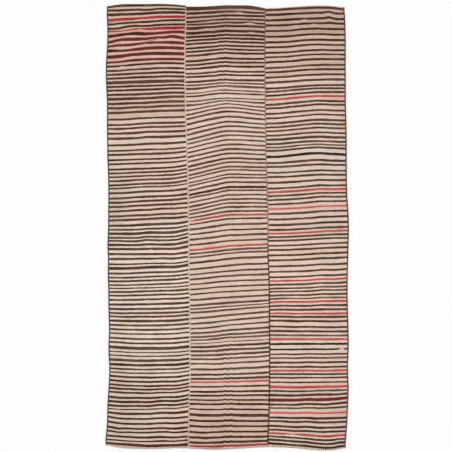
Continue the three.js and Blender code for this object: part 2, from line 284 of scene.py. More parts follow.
# How far the beaten weft of a dark stripe spreads past each charted border: place along and spread.
SPREADS = {
    "left": """
        0 .42 | 30 .42 | 45 .47 | 64 .29 | 90 .33 | 120 .4 | 142 .37 | 160 .29 | 190 .38 | 220 .37 | 250 .32
        449 .3
    """,
    "middle": "0 .34 | 60 .32 | 88 .2 | 112 .2 | 125 .31 | 250 .31 | 280 .27 | 449 .31",
    "right": "0 .44 | 60 .36 | 449 .34",
}
RED_SPREAD = 0.14  # the same for a stripe in one of the reds
REDS = "RSC"
BLEEDING = "RSCM"  # the yarns whose red ran in the wash
BLEED = ((1.0, 1.0), (1.9, 0.0))  # how far the red dye has run, in chart units, and how much is left there

# How the hand's unevenness varies across a panel: in how many knots, and how strongly.
RAGGED_WAVES = ((9, 1.0), (33, 0.8))
RAGGED_NOISE = 0.5  # the borders' last unevenness, from point to point
DYE_KNOTS = 7
BLEED_KNOTS = 9
BLEED_DEPTH = (0.85, 0.35)  # how much of the run dye shows as a mean, and how far that varies

# How far the light wool's colour strays along a band: shares of its red, green and blue, and in how many
# knots across a panel.
STRAYS = (
    (0.0, -0.045, -0.045, 5),  # towards pink
    (0.0, 0.0, -0.055, 5),  # towards yellow
    (0.035, 0.035, 0.035, 7),  # lighter
)

# Weave and sewing
RIB_PITCH = 4.0 * MM
PICK_PITCH = 1.6 * MM
TWIST_PITCH = 1.6 * MM
WRAP_PITCH = 5.5 * MM
WRAP_DEPTH = 0.16  # how deep the cord is drawn in between two wraps, as a share of its half
CORD_SIDES = 12
CORD_RINGS = 2300
CORD_TIPS = np.array([0.0, 0.4, 1.2, 2.4]) * MM  # how far from a cord's end its last rings lie
CORD_BODY = 3.6 * MM  # how far from its end the even rings start
LEAST_TIP = 0.15  # the first ring's share of the full size
CORD_FLAT = 0.05 * MM  # the height that the cord's underside is flattened to
SEWN = (-1.446, 1.444)  # where the sewing of the joins starts and ends along the rug
SEWING_WANDER = 0.4 * MM
JOIN_HEIGHTS = (2.6 * MM, 0.7 * MM)  # how plump a join's stitch is above and below the cloth
JOIN_SIZE = (1.1, 1.05)  # a join's stitch is this much longer and wider than its room
JOIN_SINK = 0.2 * MM
JOIN_TURN = 0.08
END_HEIGHT = 3 * MM
END_SINK = 0.4 * MM
END_TURN = 0.25
STITCH_UNDER = 0.3  # a stitch's lower half is this share of its upper half in height

# Studio
FLOOR_DROP = 0.3 * MM  # how far the floor lies below the rug
FLOOR_WHITE = (0.97, 0.97, 0.97, 1)
SKY_STRENGTH = 0.82
SUN_PLACE = (-3.0, 3.6, 4.2)
SUN_STRENGTH = 0.9
SUN_SPREAD = math.radians(35)  # wide, for soft shadows


def linear(code):
    """An sRGB hex colour as linear red, green and blue."""
    shares = ((code >> shift & 255) / 255 for shift in (16, 8, 0))
    return tuple(s / 12.92 if s <= 0.04045 else ((s + 0.055) / 1.055) ** 2.4 for s in shares)


# The yarns by their letters in the charts, a capital for each yarn of the dark stripes: the setting, the
# main colour, the colour that the hank drifts to, and what it is.
YARNS = {
    "N": ("dark_brown", 0x3C2217, 0x543627, "Natural dark wool, in most of the stripes"),
    "U": ("umber", 0x4A3020, 0x624632, "Natural brown wool"),
    "H": ("olive_umber", 0x4A3327, 0x664D3F, "Brown wool with a green cast, in thin stripes"),
    "B": ("light_brown", 0x5F4738, 0x7C6251, "Thin pale brown stripes"),
    "P": ("purple_brown", 0x4A3029, 0x62463A, "Dark wool dyed over with a purple red"),
    "V": ("faded_purple", 0x583830, 0x765445, "The same, faded"),
    "K": ("black", 0x2C2020, 0x3A2E2C, "The darkest wool"),
    "M": ("maroon", 0x6C2C28, 0x5E3029, "Deep madder on brown wool"),
    "D": ("faded_brown", 0x4A3023, 0x664939, "The dark wool where it has faded, along most of the rug"),
    "F": ("pale_brown", 0x543A2C, 0x715544, "The dark wool where it has faded most, in the middle panel"),
    "R": ("madder", 0x92222C, 0xA64242, "Madder red on white wool, at its deepest"),
    "C": ("brick", 0x903C34, 0x9A4A40, "Madder red that has gone brown, by the near end"),
    "S": ("salmon", 0xA84A44, 0xB86059, "Madder red that has faded, in the single red stripes"),
    "x": ("bleed", 0xECAEA1, 0xE6BDAC, "What the red dye has left in the light wool beside it"),
    "u": ("used_oat", 0xDCC1B1, 0xD7BCA8, "Oat wool that has darkened somewhat"),
    "o": ("oat", 0xE5CEC0, 0xE2CBB8, "Natural light wool, in most of the ground"),
    "i": ("pink_oat", 0xE6CDBE, 0xE1CBBA, "Light wool with a pink cast"),
    "y": ("yellow_oat", 0xE6CFBA, 0xE2CBB3, "Light wool that has yellowed"),
    "c": ("cream", 0xE5CFBE, 0xE5CCBA, "Light wool with a yellow green cast"),
    "l": ("dull_cream", 0xDFC9BB, 0xDCC6B5, "Light wool that has darkened a little"),
    # At the near ends of the left and middle panels this tan is painted shade of the turned-down hem;
    # elsewhere it is wool darkened by use
    "t": ("tan", 0xC9AE9F, 0xC5AB98, "Light wool darkened by use"),
    "w": ("white", 0xECD9CC, 0xEAD8C8, "The lightest wool"),
    "g": ("grey", 0xE2D0C1, 0xE1CEBE, "Light wool mixed with some grey"),
    "p": ("pale_bled", 0xDFBEAF, 0xD6BDA9, "Light wool that took up a little red in the wash"),
    "q": ("bled", 0xDBA698, 0xD4B8A4, "Light wool that took up red in the wash"),
    "j": ("join_pale", 0xD0B7A6, 0xDAC5B2, "Sewing yarn of the left join"),
    # Its colour also paints the shade along the middle panel's near hem
    "v": ("join_taupe", 0x867062, 0xA08A7A, "Sewing yarn of the right join, far half"),
    "e": ("join_brown", 0x6E554A, 0x866C5E, "Sewing yarn of the right join, by its middle"),
    "f": ("join_maroon", 0x421C1A, 0x58342E, "Sewing yarn of the right join, near half"),
    "b": ("edge", 0x4A352F, 0x5E473F, "Overcast yarn along the outer edges"),
}


def dyed(setting, code, description):
    """A colour setting for one yarn."""
    label = setting.replace("_", " ").capitalize()
    return bpy.props.FloatVectorProperty(
        name=label, description=description, subtype="COLOR", size=3, min=0, max=1, default=linear(code)
    )


class KilimYarns(bpy.types.PropertyGroup):
    """The main colour of each yarn."""

    __annotations__ = {setting: dyed(setting, code, text) for setting, code, _, text in YARNS.values()}


class KilimWear(bpy.types.PropertyGroup):
    """How uneven the hand weaving is."""

    ragged: bpy.props.FloatProperty(
        name="Ragged borders",
        description="How far the stripes' borders wander",
        default=1.9 * MM,
        min=0,
        unit="LENGTH",
    )
    wander: bpy.props.FloatProperty(
        name="Dye wander", description="How far a yarn's colour drifts along a pick", default=1, min=0, max=2
    )
    lift: bpy.props.FloatProperty(
        name="Lift", description="How far ripples rise off the floor", default=1.2 * MM, min=0, unit="LENGTH"
    )


def yarn_colours(letter):
    """The two linear colours between which a yarn drifts."""
    setting, _, drifts_to, _ = YARNS[letter]
    first = np.array(getattr(bpy.context.scene.kilim_yarns, setting)[:])
    second = np.array(linear(drifts_to))
    return first, first + (second - first) * bpy.context.scene.kilim_wear.wander


def add_node(tree, kind, options=(), sockets=()):
    """Adds a shader node. options are its settings; sockets get a value, or a link from a node's output."""
    made = tree.nodes.new(f"ShaderNode{kind}")
    for option, value in dict(options).items():
        setattr(made, option, value)
    for socket, value in dict(sockets).items():
        if isinstance(value, bpy.types.NodeSocket):
            tree.links.new(value, made.inputs[socket])
        else:
            made.inputs[socket].default_value = value
    return made


def start_material(name):
    """An empty material with its surface shader, for dull wool."""
    material = bpy.data.materials.new(name)
    material.use_nodes = True
    tree = material.node_tree
    tree.nodes.clear()
    dull = {"IOR": 1.54, "Roughness": 0.9, "Specular IOR Level": 0.12, "Sheen Weight": 0.04}
    surface = add_node(tree, "BsdfPrincipled", sockets=dull)
    add_node(tree, "OutputMaterial", sockets={"Surface": surface.outputs[0]})
    return material, tree, surface


def waves(tree, vector, axis, pitch, distortion):
    """Sine bands of the given pitch in metres."""
    options = {"wave_type": "BANDS", "bands_direction": axis, "wave_profile": "SIN"}
    sockets = {"Vector": vector, "Scale": math.pi / 10 / pitch, "Distortion": distortion, "Detail": 1.0}
    return add_node(tree, "TexWave", options, sockets).outputs["Fac"]


def stretched_noise(tree, vector, across, along):
    """Noise whose patches are about across by along metres."""
    scale = (1 / across, 1 / along, 1 / across)
    sized = add_node(tree, "VectorMath", {"operation": "MULTIPLY"}, {0: vector, 1: scale})
    sockets = {"Vector": sized.outputs[0], "Scale": 1.0, "Detail": 2.0}
    return add_node(tree, "TexNoise", sockets=sockets).outputs["Fac"]


def remapped(tree, value, low, high):
    """A 0 to 1 value stretched to lie between low and high."""
    sockets = {"Value": value, "To Min": low, "To Max": high}
    return add_node(tree, "MapRange", sockets=sockets).outputs[0]


def dress_wool(tree, surface, tones, bumps, fuzz):
    """Gives wool its yarn's colour times all the tones, rough fuzz, and bumps that lie on each other. A tone
    is a value with its least and greatest shade, and a bump a height with its strength and distance."""
    shade = remapped(tree, *tones[0])
    for tone in tones[1:]:
        sockets = {0: shade, 1: remapped(tree, *tone)}
        shade = add_node(tree, "Math", {"operation": "MULTIPLY"}, sockets).outputs[0]
    yarn = add_node(tree, "Attribute", {"attribute_name": "yarn"}).outputs["Color"]
    coloured = add_node(tree, "VectorMath", {"operation": "SCALE"}, {0: yarn, "Scale": shade})
    tree.links.new(coloured.outputs[0], surface.inputs["Base Color"])
    tree.links.new(remapped(tree, fuzz, 0.82, 0.98), surface.inputs["Roughness"])
    below = {}
    for height, strength, distance in bumps:
        sockets = {"Height": height, "Strength": strength, "Distance": distance, **below}
        below = {"Normal": add_node(tree, "Bump", sockets=sockets).outputs[0]}
    tree.links.new(below["Normal"], surface.inputs["Normal"])


def weft_faced_wool(name):
    """Hand-spun wool in weft-faced weave: dull, ribbed along the warp, each pick a faint line.
    The warps lie 4 mm apart. The picks are drawn at 1.6 mm, a little coarser than the real ones, so that
    they show."""
    material, tree, surface = start_material(name)
    weave = add_node(tree, "UVMap", {"uv_map": "Weave"}).outputs[0]
    place = add_node(tree, "TexCoord").outputs["Object"]
    ribs = waves(tree, weave, "X", RIB_PITCH, 0.6)
    picks = waves(tree, weave, "Y", PICK_PITCH, 1.5)
    spun = stretched_noise(tree, weave, 30 * MM, 2.2 * MM)
    fuzz = stretched_noise(tree, place, 1.6 * MM, 1.6 * MM)
    hank = stretched_noise(tree, weave, 90 * MM, 9 * MM)
    # The ribs and picks also darken the colour in their grooves: painted shade, beside their bumps
    tones = [(ribs, 0.93, 1.03), (picks, 0.95, 1.02), (spun, 0.72, 1.26), (fuzz, 0.85, 1.14)]
    tones.append((hank, 0.84, 1.16))
    bumps = [(ribs, 0.55, 0.5 * MM), (picks, 0.5, 0.25 * MM), (fuzz, 0.4, 0.3 * MM)]
    dress_wool(tree, surface, tones, bumps, fuzz)
    return material


def spun_wool(name):
    """Plied wool yarn for sewing: dull, with the ply's fine twist and a little fuzz."""
    material, tree, surface = start_material(name)
    place = add_node(tree, "TexCoord").outputs["Object"]
    twist = waves(tree, place, "DIAGONAL", TWIST_PITCH, 0.8)
    fuzz = stretched_noise(tree, place, 1.2 * MM, 1.2 * MM)
    # The twist also darkens the colour in its grooves: painted shade, beside its bump
    tones = [(twist, 0.88, 1.06), (fuzz, 0.75, 1.22)]
    bumps = [(twist, 0.5, 0.25 * MM), (fuzz, 0.4, 0.3 * MM)]
    dress_wool(tree, surface, tones, bumps, fuzz)
    return material


def smooth(places, values, at):
    """A smooth curve through the values, which may be rows of a table, read at new places."""
    places, values, at = (np.asarray(v, float) for v in (places, values, at))
    slopes = np.gradient(values, places, axis=0)
    i = np.clip(np.searchsorted(places, at) - 1, 0, len(places) - 2)
    wide = (-1,) + (1,) * (values.ndim - 1)
    step = (places[i + 1] - places[i]).reshape(wide)
    t = ((at - places[i]) / (places[i + 1] - places[i])).clip(0, 1).reshape(wide)
    start = (1 + 2 * t) * (1 - t) ** 2 * values[i] + t * (1 - t) ** 2 * step * slopes[i]
    return start + t**2 * (3 - 2 * t) * values[i + 1] + t**2 * (t - 1) * step * slopes[i + 1]


def along_rug(chart):
    """The place along the rug, in metres, of a chart line."""
    return FAR_LINE - np.asarray(chart) * UNIT


def chart_line(along):
    """The chart line of a place along the rug."""
    return (FAR_LINE - np.asarray(along)) / UNIT


class Outline:
    """A CAD piece in plan, measured with rays: its two long edges and its two ends."""

    REACH = 1.43  # the long edges are measured this far from the rug's middle
    FAR_OFF = 3.0  # where the rays start
    PLACES = 111  # at how many places each long edge is measured
    CORNER = 0.004  # an end is measured no closer to its corners than this share of the width

    def __init__(self, node, height):
        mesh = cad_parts[node].data
        corners = [vertex.co for vertex in mesh.vertices]
        self.tree = BVHTree.FromPolygons(corners, [face.vertices for face in mesh.polygons])
        self.height = height
        self.along = np.linspace(-self.REACH, self.REACH, self.PLACES)
        self.left = np.array([self.touch((-self.FAR_OFF, y), (1, 0)).x for y in self.along])
        self.right = np.array([self.touch((self.FAR_OFF, y), (-1, 0)).x for y in self.along])

    def touch(self, start, direction):
        """Where a level ray first meets the piece."""
        hit = self.tree.ray_cast(Vector((*start, self.height)), Vector((*direction, 0)))[0]
        if hit is None:
            raise RuntimeError(f"no edge of the piece was found from {start}")
        return hit

    def across(self, along, share):
        """The place across at a share of the piece's width."""
        left, right = np.interp(along, self.along, self.left), np.interp(along, self.along, self.right)
        return left + share * (right - left)

    def end(self, share, side):
        """Where the far end, side 1, or the near end, side -1, lies at a share of the width."""
        x = self.across(side * self.REACH, min(max(share, self.CORNER), 1 - self.CORNER))
        return self.touch((x, side * self.FAR_OFF), (0, -side)).y


def rounded(inset, thickness):
    """How much of the thickness is left this far in from a rounded border."""
    reach = np.clip(inset / (thickness / 2), 0, 1)
    return np.sqrt(1 - (1 - reach) ** 2)


def chart_rows(chart, panel):
    """One panel's rows of a chart, which bars and line ends keep apart, with its numbers as floats."""
    rows = (row.split() for row in chart.get(panel, "").replace("\n", "|").split("|"))
    return [[word if word.isalpha() else float(word) for word in row] for row in rows if row]


def read_stripes(panel):
    """The chart's stripes as (yarn, charted middle, far border, near border)."""
    stripes = []
    for entry in STRIPES[panel].split():
        middle, _, height = entry[1:].partition(":")
        middle, half = float(middle), float(height or USUAL_HEIGHT) / 2
        half += RED_SPREAD if entry[0] in REDS else np.interp(middle, *zip(*chart_rows(SPREADS, panel)))
        stripes.append((entry[0], middle, middle - half, middle + half))
    return stripes


def light_at(panel, place):
    """The letter of the light yarn at a chart place."""
    entries = [(float(entry[1:]), entry[0]) for entry in LIGHTS[panel].split()]
    return [letter for start, letter in entries if start <= place][-1]


def weft_rows(panel, first, last):
    """The rows of the weave from end to end, as (chart line, number of the border that it follows, number of
    its band, how much red has run into it), then the bands' yarns and the count of borders."""
    borders, bands = [first], []
    for letter, _, far, near in read_stripes(panel):
        borders += [far, near]
        bands += [light_at(panel, far - LIGHT_OFF), letter]
    borders.append(last)
    bands.append(light_at(panel, last - LIGHT_OFF))
    rows = []
    around = ["-", *bands, "-"]  # a dash stands for what is past an end
    for number, (far, near, letter) in enumerate(zip(borders, borders[1:], bands)):
        red_far, red_near = (float(around[number + step] in BLEEDING) for step in (0, 2))
        room = (near - far) / 2 - BORDER_BLUR
        rows.append((far + BORDER_BLUR, number, number, red_far))
        if letter.islower() and (red_far or red_near):
            runs = [(min(reach, 0.99 * room * reach / BLEED[-1][0]), share) for reach, share in BLEED]
            rows += [(far + reach, number, number, share * red_far) for reach, share in runs]
            rows += [(near - reach, number + 1, number, share * red_near) for reach, share in runs[::-1]]
        elif room > WIDE_BAND:
            rows.append(((far + near) / 2, number, number, 0.0))
        rows.append((near - BORDER_BLUR, number + 1, number, red_near))
    insets = [HEM_THICKNESS / 2 * share / UNIT for share in EDGE_ROUNDING]
    rows = [row for row in rows if first + insets[-1] < row[0] < last - insets[-1]]
    for inset in (*insets, HEM_DEPTH / UNIT, (HEM_DEPTH + HEM_SLOPE) / UNIT):
        for place, border in ((first + inset, 0), (last - inset, len(borders) - 1)):
            band = max((n for n, far in enumerate(borders[:-1]) if far <= place), default=0)
            rows.append((place, border, band, 0.0))
    rows.sort(key=lambda row: row[0])
    kept = rows[:1]
    for row in rows[1:]:
        if row[0] - kept[-1][0] > LEAST_STEP:
            kept.append(row)
    return kept, bands, len(borders)


def wandering(rng, count, columns, waves_across):
    """A smooth random curve for each of count lines, from -1 to 1 at the columns' shares."""
    knots = np.linspace(0, 1, waves_across)
    return smooth(knots, rng.uniform(-1, 1, (waves_across, count)), columns).T


def patch(line, across, along, side, reach_along, reach_across):
    """How strongly a soft round patch shows at each place, from 0 to 1."""
    return np.exp(-(((line - along) / reach_along) ** 2) - ((across - side) / reach_across) ** 2)


def push_aside(panel, line, across):
    """How far the nudges and the fold push the weft, at chart places along and across."""
    shift = np.zeros_like(line)
    for along, side, by, *reaches in chart_rows(NUDGES, panel):
        shift += by * patch(line, across, along, side, *reaches)
    if panel == "middle":
        places, sides, heights = np.array(CREASE).T
        side, height = np.interp(line, places, sides), np.interp(line, places, heights)
        for bump in (-CREASE_HALF_WIDTH, CREASE_HALF_WIDTH):
            shift -= height * np.exp(-(((across - side - bump) / CREASE_REACH) ** 2))
    return shift


def tint(colours, colour, strength):
    """Draws the points' colours towards one colour, by a strength for each point."""
    colours += (colour - colours) * strength[..., None]


def ripples(x, y):
    """How far the cloth rises off the floor, as a share from 0 to 1: long soft waves from the loom."""
    slow = np.sin(5.1 * x + 1.3 * np.sin(2.3 * y) + 0.4) * np.sin(3.7 * y + 1.1 * np.sin(4.2 * x))
    quick = np.sin(31 * y + 9 * x + 2 * np.sin(7 * x)) * np.sin(13 * x + 3 * np.sin(5 * y))
    return 0.5 + 0.33 * slow + 0.17 * quick


def quads(rows, columns):
    """The corners of each quad of a grid, counter-clockwise from above where rows run to the near end."""
    corner = np.arange(rows * columns).reshape(rows, columns)
    around = (corner[:-1, :-1], corner[1:, :-1], corner[1:, 1:], corner[:-1, 1:])
    return np.stack(around, axis=-1).reshape(-1, 4)


def add_piece(name, points, faces, colours, material):
    """A new object from points and faces, with a colour for each point, that rides on the rug."""
    mesh = bpy.data.meshes.new(name)
    mesh.from_pydata(np.asarray(points).reshape(-1, 3).tolist(), [], [list(face) for face in faces])
    attribute = mesh.color_attributes.new("yarn", "FLOAT_COLOR", "POINT")
    opaque = np.ones((len(mesh.vertices), 4))
    opaque[:, :3] = np.asarray(colours).reshape(-1, 3)
    attribute.data.foreach_set("color", opaque.ravel())
    mesh.polygons.foreach_set("use_smooth", np.ones(len(mesh.polygons), bool))
    mesh.materials.append(material)
    mesh.update()
    piece = bpy.data.objects.new(name, mesh)
    bpy.context.collection.objects.link(piece)
    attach(piece, "root")
    return piece


def add_map(mesh, name, corners):
    """A UV map from one pair for each face corner."""
    mesh.uv_layers.new(name=name).data.foreach_set("uv", np.asarray(corners, np.float32).ravel())


def folded(shares, strip):
    """A bake map that folds a long panel into strips that lie side by side. shares are each corner's
    shares across and along the panel, and strip is each face's strip."""
    side, end = BAKE_MARGINS
    along = shares[..., 1] * BAKE_STRIPS - (strip % BAKE_STRIPS)[:, None]
    across = (strip[:, None] + side + (1 - 2 * side) * shares[..., 0]) / (2 * BAKE_STRIPS)
    return np.stack([across, end + (1 - 2 * end) * along], axis=-1)


class WovenPanel:
    """One panel's grid of points on its CAD outline: rows of weft from the far end, and columns across."""

    def __init__(self, name, seed):
        self.name = name
        self.rng = np.random.default_rng(seed)
        self.outline = Outline(f"panel_{name}", CLOTH_THICKNESS / 2)
        self.width = float(np.mean(self.outline.right - self.outline.left))
        insets = np.array(EDGE_ROUNDING) * CLOTH_THICKNESS / 2
        inner = np.arange(1, COLUMNS) / COLUMNS
        self.share = np.concatenate([insets / self.width, inner, 1 - insets[::-1] / self.width])
        self.inset = np.concatenate([insets, np.full(COLUMNS - 1, 1.0), insets[::-1]])

        self.ends = [np.array([self.outline.end(share, side) for share in DRIFT_PLACES]) for side in (1, -1)]
        self.first, self.last = (float(chart_line(end[len(end) // 2])) for end in self.ends)
        rows, self.bands, self.border_count = weft_rows(name, self.first, self.last)
        self.chart, self.border, self.band, self.red = (np.array(column) for column in zip(*rows))
        self.light = np.array([self.bands[band].islower() for band in self.band])[:, None]
        self.band_at = {row[1]: 2 * n + 1 for n, row in enumerate(read_stripes(name))}
        self.lay_weft()

    def lay_weft(self):
        """Finds each point's chart line and its place across: the weft drifts, its borders are ragged, and
        it has faults."""
        far, near = (chart_line(end) for end in self.ends)
        drifts = [[self.first, *(far - self.first)], *chart_rows(DRIFTS, self.name)]
        drifts = np.array([*drifts, [self.last, *(near - self.last)]])
        drift = smooth(drifts[:, 0], smooth(DRIFT_PLACES, drifts[:, 1:].T, self.share).T, self.chart)
        ragged = np.zeros((self.border_count, len(self.share)))
        for knots, strength in RAGGED_WAVES:
            ragged += strength * wandering(self.rng, self.border_count, self.share, knots)
        ragged += RAGGED_NOISE * self.rng.uniform(-1, 1, ragged.shape)
        ragged[[0, -1]] = 0
        ragged *= bpy.context.scene.kilim_wear.ragged / UNIT / 2
        line = self.chart[:, None] + drift + ragged[self.border]
        self.across = MIDDLE_ACROSS + self.outline.across(along_rug(line), self.share) / UNIT
        for middle, borders, side, by, reach in chart_rows(FAULTS, self.name):
            moved = np.isin(self.border, [self.band_at[middle] + step for step in FAULT_BORDERS[borders]])
            line += by * np.exp(-(((self.across - side) / reach) ** 2)) * moved[:, None]
        from_end = np.minimum(self.chart - self.first, self.last - self.chart)[:, None]
        line += push_aside(self.name, line, self.across) * (from_end / END_REACH).clip(0, 1)
        self.line = np.maximum.accumulate(line + np.arange(len(line))[:, None] * ROW_GAP, axis=0)

    def faces(self):
        """The points of the upper and the lower face, rippled, thicker at the hems and rounded all around."""
        y = along_rug(self.line)
        x = self.outline.across(y, self.share)
        inset = np.minimum(y[0] - y, y - y[-1])
        thick = np.interp(inset, [HEM_DEPTH, HEM_DEPTH + HEM_SLOPE], [HEM_THICKNESS, CLOTH_THICKNESS])
        left = np.minimum(rounded(inset, thick), rounded(self.inset, CLOTH_THICKNESS))
        under = UNDERSIDE + bpy.context.scene.kilim_wear.lift * ripples(x, y)
        thick = thick - UNDERSIDE
        return [np.stack([x, y, under + thick * (1 + side * left) / 2], axis=-1) for side in (1, -1)]

    def drifting(self, knots):
        """A random curve across the panel for each band, from -1 to 1, at every point."""
        return wandering(self.rng, len(self.bands), self.share, knots)[self.band]

    def spot(self, *place_and_reach):
        """How strongly a soft round patch shows at every point."""
        return patch(self.line, self.across, *place_and_reach)

    def colours(self):
        """The points' colours: each band's yarn, the red that ran into it, its fades and slants, stains,
        painted shade along the middle panel's near hem, and lighter and darker patches.
        """
        dye = self.drifting(DYE_KNOTS) * 0.5 + 0.5
        pairs = np.array([yarn_colours(letter) for letter in self.bands])[self.band]
        colours = pairs[:, 0, None] + (pairs[:, 1] - pairs[:, 0])[:, None] * dye[..., None]
        mean, varying = BLEED_DEPTH
        depth = np.clip(mean + varying * self.drifting(BLEED_KNOTS), 0, 1)
        for *shares, knots in STRAYS:
            stray = self.drifting(knots) * self.light
            colours *= 1 + stray[..., None] * shares * bpy.context.scene.kilim_wear.wander
        tint(colours, yarn_colours("x")[0], self.red[:, None] * self.light * depth)
        for middle, letter, side, reach in chart_rows(FADES, self.name):
            faded = np.exp(-(((self.across - side) / reach) ** 2))
            tint(colours, yarn_colours(letter)[0], faded * (self.band == self.band_at[middle])[:, None])
        for along, side, to_along, to_side, letter, reach in chart_rows(SLANTS, self.name):
            run = np.clip((self.across - side) / (to_side - side), 0, 1)
            place = along + run * (to_along - along), side + run * (to_side - side)
            tint(colours, yarn_colours(letter)[0], self.spot(*place, reach, SLANT_END))
        # Stains, and at the middle panel's near end painted shade where the hem turns down
        for along, side, letter, *reaches in chart_rows(STAINS_AND_HEM_SHADE, self.name):
            tint(colours, yarn_colours(letter)[1], self.spot(along, side, *reaches) * self.light)
        # Soft patches that make all colours lighter or darker alike
        for along, side, lighter, *reaches in chart_rows(SHADES, self.name):
            colours *= 1 + lighter * self.spot(along, side, *reaches)[..., None]
        return colours


def weave_panel(name, seed):
    """One panel of cloth: both faces striped and joined all around, with a weave map and a bake map."""
    panel = WovenPanel(name, seed)
    upper, lower = panel.faces()
    colours = panel.colours()
    inner = np.ones(upper.shape[:2], bool)
    inner[[0, -1]] = inner[:, [0, -1]] = False
    inner = inner.ravel()
    below = np.where(inner, len(inner) + np.cumsum(inner) - 1, np.arange(len(inner)))
    top = quads(*upper.shape[:2])
    turned = top[:, ::-1]
    piece = add_piece(
        f"striped_cloth_{name}",
        np.concatenate([upper.reshape(-1, 3), lower.reshape(-1, 3)[inner]]),
        np.concatenate([top, below[turned]]),
        np.concatenate([colours.reshape(-1, 3), colours.reshape(-1, 3)[inner]]),
        weft_faced_wool(f"Weft-faced wool, {name}"),
    )
    share, chart = (grid.ravel() for grid in np.broadcast_arrays(panel.share, panel.chart[:, None]))
    weave = np.stack([share * panel.width, chart * UNIT], axis=-1)
    add_map(piece.data, "Weave", np.concatenate([weave[top], weave[turned]]))
    shares = np.stack([share, (chart - panel.first) / (panel.last - panel.first)], axis=-1)
    strip = np.minimum((shares[top][..., 1].mean(axis=1) * BAKE_STRIPS).astype(int), BAKE_STRIPS - 1)
    both = np.concatenate([folded(shares[top], strip), folded(shares[turned], strip + BAKE_STRIPS)])
    add_map(piece.data, "OFBake", both)
    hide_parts(f"panel_{name}")
    far, near = panel.ends
    return piece, panel.width, float(np.mean(far) - np.mean(near))


def model_stitch():
    """One stitch as points and faces: a unit long and wide, plump above and flat where it lies."""
    bpy.ops.object.select_all(action="DESELECT")
    bpy.ops.mesh.primitive_uv_sphere_add(segments=8, ring_count=5, radius=0.5)
    stitch = bpy.context.active_object
    bpy.ops.transform.rotate(value=math.radians(90), orient_axis="Y")
    bpy.ops.object.transform_apply(location=False, rotation=True, scale=False)
    for vertex in stitch.data.vertices:
        if vertex.co.z < 0:
            vertex.co.z *= STITCH_UNDER
    points = np.array([vertex.co[:] for vertex in stitch.data.vertices])
    faces = [list(face.vertices) for face in stitch.data.polygons]
    mesh = stitch.data
    bpy.data.objects.remove(stitch)
    bpy.data.meshes.remove(mesh)
    return points, faces


def sew(name, stitches, material):
    """Joins copies of one stitch. Each is its middle, its (length, width, height), its turn and colour."""
    shape, around = model_stitch()
    points, faces, colours = [], [], []
    for middle, size, turn, colour in stitches:
        copy = shape * np.array([size[0], size[1], abs(size[2])])
        if size[2] < 0:  # lies on the underside
            copy = copy * np.array([1, -1, -1])
        c, s = math.cos(turn), math.sin(turn)
        copy = copy @ np.array([[c, s, 0], [-s, c, 0], [0, 0, 1]]) + np.array(middle)
        faces += [[corner + len(points) * len(shape) for corner in face] for face in around]
        points.append(copy)
        colours.append(np.broadcast_to(colour, copy.shape))
    return add_piece(name, np.concatenate(points), faces, np.concatenate(colours), material)


def tinted(letter, rng):
    """One random colour of a yarn's range."""
    first, second = yarn_colours(letter)
    return first + (second - first) * rng.uniform(0, 1)


def uneven(rng, by):
    """A random factor that is at most this far from 1."""
    return rng.uniform(1 - by, 1 + by)


def lifted(x, y):
    """How far the cloth rises off the floor at one place."""
    return bpy.context.scene.kilim_wear.lift * float(ripples(x, y))


def zigzag(join, seed):
    """The stitches of one join, from the near end to the far end, above and below the cloth."""
    left_node, right_node, sections = JOINS[join]
    left, right = Outline(left_node, CLOTH_THICKNESS / 2), Outline(right_node, CLOTH_THICKNESS / 2)
    rng = np.random.default_rng(seed)
    places, reaches, pitches, letters = zip(*sections)
    y, end = SEWN
    side, stitches = 1, []
    while y < end:
        chart = float(chart_line(y))
        reach = np.interp(chart, places, reaches) * MM
        pitch = np.interp(chart, places, pitches) * MM
        letter = [letter for place, letter in zip(places, letters) if place <= chart][-1]
        x = float(left.across(y, 1) + right.across(y, 0)) / 2
        x += float(np.sin(y * 23) + np.sin(y * 57 + 1)) * SEWING_WANDER
        x += rng.uniform(-SEWING_WANDER, SEWING_WANDER)
        reach *= uneven(rng, 0.15)
        turn = math.atan2(pitch * side, reach) + rng.uniform(-JOIN_TURN, JOIN_TURN)
        longer, wider = JOIN_SIZE
        length, width = math.hypot(pitch, reach) * longer, wider * pitch * uneven(rng, 0.1)
        above, below = JOIN_HEIGHTS
        top = CLOTH_THICKNESS + lifted(x, y) - JOIN_SINK
        stitches.append(((x, y, top), (length, width, above), turn, tinted(letter, rng)))
        low = UNDERSIDE + lifted(x, y)
        stitches.append(((x, y, low), (length, width, -below), turn, tinted(letter, rng)))
        y += pitch * uneven(rng, 0.1)
        side = -side
    return stitches


def end_stitches(seed):
    """The overcast stitches over the ends."""
    rng = np.random.default_rng(seed)
    stitches = []
    for node, side, start, stop, pitch, inset, length, width, letter in END_STITCHES:
        outline = Outline(node, CLOTH_THICKNESS / 2)
        x, stop_x = ((place - MIDDLE_ACROSS) * UNIT for place in (start, stop))
        left, right = (outline.across(side * outline.REACH, share) for share in (0, 1))
        while x < stop_x:
            y = outline.end(float((x - left) / (right - left)), side) - side * inset * MM
            size = (length * MM * uneven(rng, 0.15), width * MM * uneven(rng, 0.15), END_HEIGHT)
            turn = math.radians(90) + rng.uniform(-END_TURN, END_TURN)
            top = HEM_THICKNESS + lifted(x, y) - END_SINK
            stitches.append(((x, y, top), size, turn, tinted(letter, rng)))
            x += pitch * MM * uneven(rng, 0.15)
    return stitches


